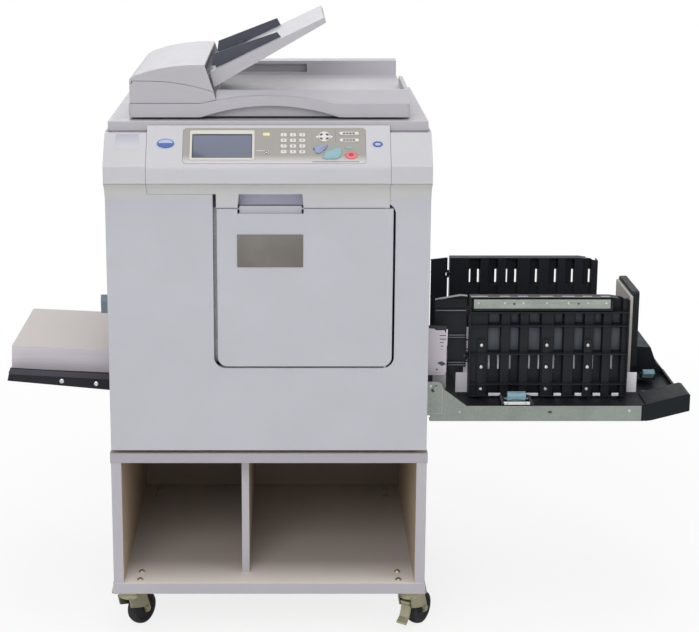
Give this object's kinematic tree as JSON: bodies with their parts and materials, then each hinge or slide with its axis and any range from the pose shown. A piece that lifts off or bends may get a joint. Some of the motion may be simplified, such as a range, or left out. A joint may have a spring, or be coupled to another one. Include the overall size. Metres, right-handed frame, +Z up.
{
  "type": "digital duplicator",
  "caption": "Floor-standing digital duplicator: scanner with document feeder and key console over a print-drum body, paper feed tray, ribbed receiving tray and castor stand.",
  "frame": {"origin": "middle of the overall bounding box, at floor level, under the castor wheels", "axes": "+X from the feed side to the receiving side, +Y from the operator's side to the back, +Z up"},
  "size_m": [1.473, 0.64, 1.335],
  "materials": {
    "body_plastic": "fine-grained satin",
    "cover_paint": "satin paint",
    "console_plastic": "satin",
    "panel_grey": "satin print",
    "lid_plastic": "satin",
    "board": "melamine-faced board with edge band",
    "back_board": "thin faced board",
    "castor_zinc": "yellow zinc",
    "castor_rubber": "matt",
    "inner_steel": "zinc sheet",
    "drum_mesh": "fine woven screen",
    "ink_cap": "moulded",
    "clear_glass": "clear",
    "pad_white": "foam with white film",
    "roller_rubber": "matt",
    "key_grey": "moulded",
    "key_blue": "moulded",
    "key_teal": "moulded",
    "key_red": "moulded",
    "screen": "dark frame round a lit panel",
    "slate_plastic": "fine-grained",
    "tray_black": "fine-grained",
    "tray_steel": "bright zinc",
    "lever_blue": "moulded",
    "paper": "stacked sheets"
  },
  "bodies": {
    "machine": {"stand_top_board": "board", "stand_base_board": "board", "stand_uprights": "board", "stand_back_board": "back_board", "castor_mounts": "castor_zinc", "rear_castor_forks": "castor_zinc", "base_pan": "inner_steel", "main_frame": "inner_steel", "front_cover": "body_plastic", "left_side_cover": "cover_paint", "right_side_cover": "cover_paint", "rear_cover": "cover_paint", "drum_bay_liner": "inner_steel", "feed_bay_liner": "inner_steel", "scanner_housing": "lid_plastic", "platen_glass": "clear_glass", "console_housing": "console_plastic", "console_side_caps": "console_plastic", "key_panel": "panel_grey", "touch_screen": "screen", "drum_frame": "inner_steel", "ink_bottle": "ink_cap", "tray_brackets": "tray_steel", "tray_rail": "tray_steel", "receiving_deck": "tray_black", "deck_end_cap": "tray_black"},
    "front_door": {"front_door": "body_plastic"},
    "lid": {"platen_cover": "lid_plastic", "platen_pad": "pad_white", "feeder_housing": "lid_plastic"},
    "feeder_cover": {"feeder_cover": "lid_plastic"},
    "document_tray": {"document_tray": "lid_plastic"},
    "guide_front": {"document_guide_front": "slate_plastic"},
    "guide_rear": {"document_guide_rear": "slate_plastic"},
    "pickup_roller": {"pickup_roller": "roller_rubber"},
    "scan_carriage": {"scan_carriage": "inner_steel"},
    "print_drum": {"print_drum": "drum_mesh"},
    "feed_tray": {"feed_tray": "tray_black", "paper_stack": "paper"},
    "feed_lever": {"feed_lever": "tray_black"},
    "front_fence": {"front_fence": "tray_black"},
    "front_wing": {"front_wing": "tray_black"},
    "front_fence_lever": {"front_fence_lever": "lever_blue"},
    "rear_fence": {"rear_fence": "tray_black"},
    "rear_wing": {"rear_wing": "tray_black"},
    "end_fence": {"end_fence": "tray_black"},
    "end_fence_lever": {"end_fence_lever": "lever_blue"},
    "castor_left": {"castor_fork_left": "castor_zinc"},
    "castor_right": {"castor_fork_right": "castor_zinc"},
    "wheel_front_left": {"castor_wheel_front_left": "castor_rubber"},
    "wheel_front_right": {"castor_wheel_front_right": "castor_rubber"},
    "wheel_rear_left": {"castor_wheel_rear_left": "castor_rubber"},
    "wheel_rear_right": {"castor_wheel_rear_right": "castor_rubber"},
    "castor_brake": {"castor_brake": "castor_zinc"},
    "keypad": {"keypad": "key_grey"},
    "function_keys": {"function_keys": "key_grey"},
    "start_key": {"start_key": "key_teal"},
    "stop_key": {"stop_key": "key_red"},
    "master_key": {"master_key": "key_blue"},
    "standby_button": {"standby_button": "key_blue"}
  },
  "joints": [
    {"name": "front_door_hinge", "type": "hinge", "parent": "machine", "child": "front_door", "pos_m": [0.0785, -0.288, 0.78], "axis": [0, 0, 1], "range_deg": [0, 110]},
    {"name": "lid_hinge", "type": "hinge", "parent": "machine", "child": "lid", "pos_m": [-0.1655, 0.259, 1.146], "axis": [-1, 0, 0], "range_deg": [0, 60]},
    {"name": "feeder_cover_hinge", "type": "hinge", "parent": "lid", "child": "feeder_cover", "pos_m": [-0.4495, 0.009, 1.207], "axis": [0, -1, 0], "range_deg": [0, 70]},
    {"name": "document_tray_hinge", "type": "hinge", "parent": "lid", "child": "document_tray", "pos_m": [-0.2845, -0.038, 1.222], "axis": [0, -1, 0], "range_deg": [0, 25]},
    {"name": "guide_front_slide", "type": "slide", "parent": "document_tray", "child": "guide_front", "axis": [0, 1, 0], "range_m": [0, 0.085]},
    {"name": "guide_rear_slide", "type": "slide", "parent": "document_tray", "child": "guide_rear", "axis": [0, 1, 0], "range_m": [-0.085, 0]},
    {"name": "pickup_roller_spin", "type": "hinge", "parent": "lid", "child": "pickup_roller", "pos_m": [-0.3505, -0.038, 1.213], "axis": [0, 1, 0], "continuous": true},
    {"name": "scan_carriage_slide", "type": "slide", "parent": "machine", "child": "scan_carriage", "axis": [1, 0, 0], "range_m": [0, 0.43]},
    {"name": "print_drum_spin", "type": "hinge", "parent": "machine", "child": "print_drum", "pos_m": [-0.0895, -0.049, 0.788], "axis": [0, 1, 0], "continuous": true},
    {"name": "feed_tray_lift", "type": "slide", "parent": "machine", "child": "feed_tray", "axis": [0, 0, 1], "range_m": [-0.07, 0]},
    {"name": "feed_lever_turn", "type": "hinge", "parent": "machine", "child": "feed_lever", "pos_m": [-0.5005, -0.181, 0.722], "axis": [1, 0, 0], "range_deg": [0, 30]},
    {"name": "front_fence_slide", "type": "slide", "parent": "machine", "child": "front_fence", "axis": [0, 1, 0], "range_m": [0, 0.06]},
    {"name": "rear_fence_slide", "type": "slide", "parent": "machine", "child": "rear_fence", "axis": [0, 1, 0], "range_m": [-0.06, 0]},
    {"name": "front_wing_hinge", "type": "hinge", "parent": "front_fence", "child": "front_wing", "pos_m": [0.2635, -0.17, 0.65], "axis": [0, 0, 1], "range_deg": [-10, 10]},
    {"name": "rear_wing_hinge", "type": "hinge", "parent": "rear_fence", "child": "rear_wing", "pos_m": [0.2525, 0.162, 0.65], "axis": [0, 0, 1], "range_deg": [-10, 10]},
    {"name": "front_lever_hinge", "type": "hinge", "parent": "front_fence", "child": "front_fence_lever", "pos_m": [0.3645, -0.229, 0.524], "axis": [1, 0, 0], "range_deg": [-30, 0]},
    {"name": "end_fence_slide", "type": "slide", "parent": "machine", "child": "end_fence", "axis": [-1, 0, 0], "range_m": [0, 0.2]},
    {"name": "end_lever_hinge", "type": "hinge", "parent": "end_fence", "child": "end_fence_lever", "pos_m": [0.6835, -0.063, 0.5235], "axis": [1, 0, 0], "range_deg": [-30, 0]},
    {"name": "castor_left_swivel", "type": "hinge", "parent": "machine", "child": "castor_left", "pos_m": [-0.4725, -0.251, 0.09], "axis": [0, 0, 1], "continuous": true},
    {"name": "castor_right_swivel", "type": "hinge", "parent": "machine", "child": "castor_right", "pos_m": [0.1415, -0.251, 0.09], "axis": [0, 0, 1], "continuous": true},
    {"name": "wheel_front_left_spin", "type": "hinge", "parent": "castor_left", "child": "wheel_front_left", "pos_m": [-0.44956, -0.21823, 0.0375], "axis": [0.8192, -0.5736, 0], "continuous": true},
    {"name": "wheel_front_right_spin", "type": "hinge", "parent": "castor_right", "child": "wheel_front_right", "pos_m": [0.16444, -0.21823, 0.0375], "axis": [0.8192, -0.5736, 0], "continuous": true},
    {"name": "wheel_rear_left_spin", "type": "hinge", "parent": "machine", "child": "wheel_rear_left", "pos_m": [-0.4725, 0.237, 0.0375], "axis": [1, 0, 0], "continuous": true},
    {"name": "wheel_rear_right_spin", "type": "hinge", "parent": "machine", "child": "wheel_rear_right", "pos_m": [0.1415, 0.237, 0.0375], "axis": [1, 0, 0], "continuous": true},
    {"name": "castor_brake_hinge", "type": "hinge", "parent": "castor_right", "child": "castor_brake", "pos_m": [0.13462, -0.26083, 0.066], "axis": [0.8192, -0.5736, 0], "range_deg": [0, 28]},
    {"name": "keypad_press", "type": "slide", "parent": "machine", "child": "keypad", "axis": [0, 0.7557, -0.6549], "range_m": [0, 0.001], "stiffness_N_per_m": 600, "springref_m": -0.0004},
    {"name": "function_keys_press", "type": "slide", "parent": "machine", "child": "function_keys", "axis": [0, 0.7557, -0.6549], "range_m": [0, 0.001], "stiffness_N_per_m": 600, "springref_m": -0.0004},
    {"name": "start_key_press", "type": "slide", "parent": "machine", "child": "start_key", "axis": [0, 0.7557, -0.6549], "range_m": [0, 0.001], "stiffness_N_per_m": 600, "springref_m": -0.0004},
    {"name": "stop_key_press", "type": "slide", "parent": "machine", "child": "stop_key", "axis": [0, 0.7557, -0.6549], "range_m": [0, 0.001], "stiffness_N_per_m": 600, "springref_m": -0.0004},
    {"name": "master_key_press", "type": "slide", "parent": "machine", "child": "master_key", "axis": [0, 0.7557, -0.6549], "range_m": [0, 0.001], "stiffness_N_per_m": 600, "springref_m": -0.0004},
    {"name": "standby_button_press", "type": "slide", "parent": "machine", "child": "standby_button", "axis": [0, 0.7557, -0.6549], "range_m": [0, 0.0008], "stiffness_N_per_m": 600, "springref_m": -0.0004}
  ],
  "couplings": [
    {"joint": "guide_rear_slide", "follows": "guide_front_slide", "ratio": -1},
    {"joint": "rear_fence_slide", "follows": "front_fence_slide", "ratio": -1}
  ]
}
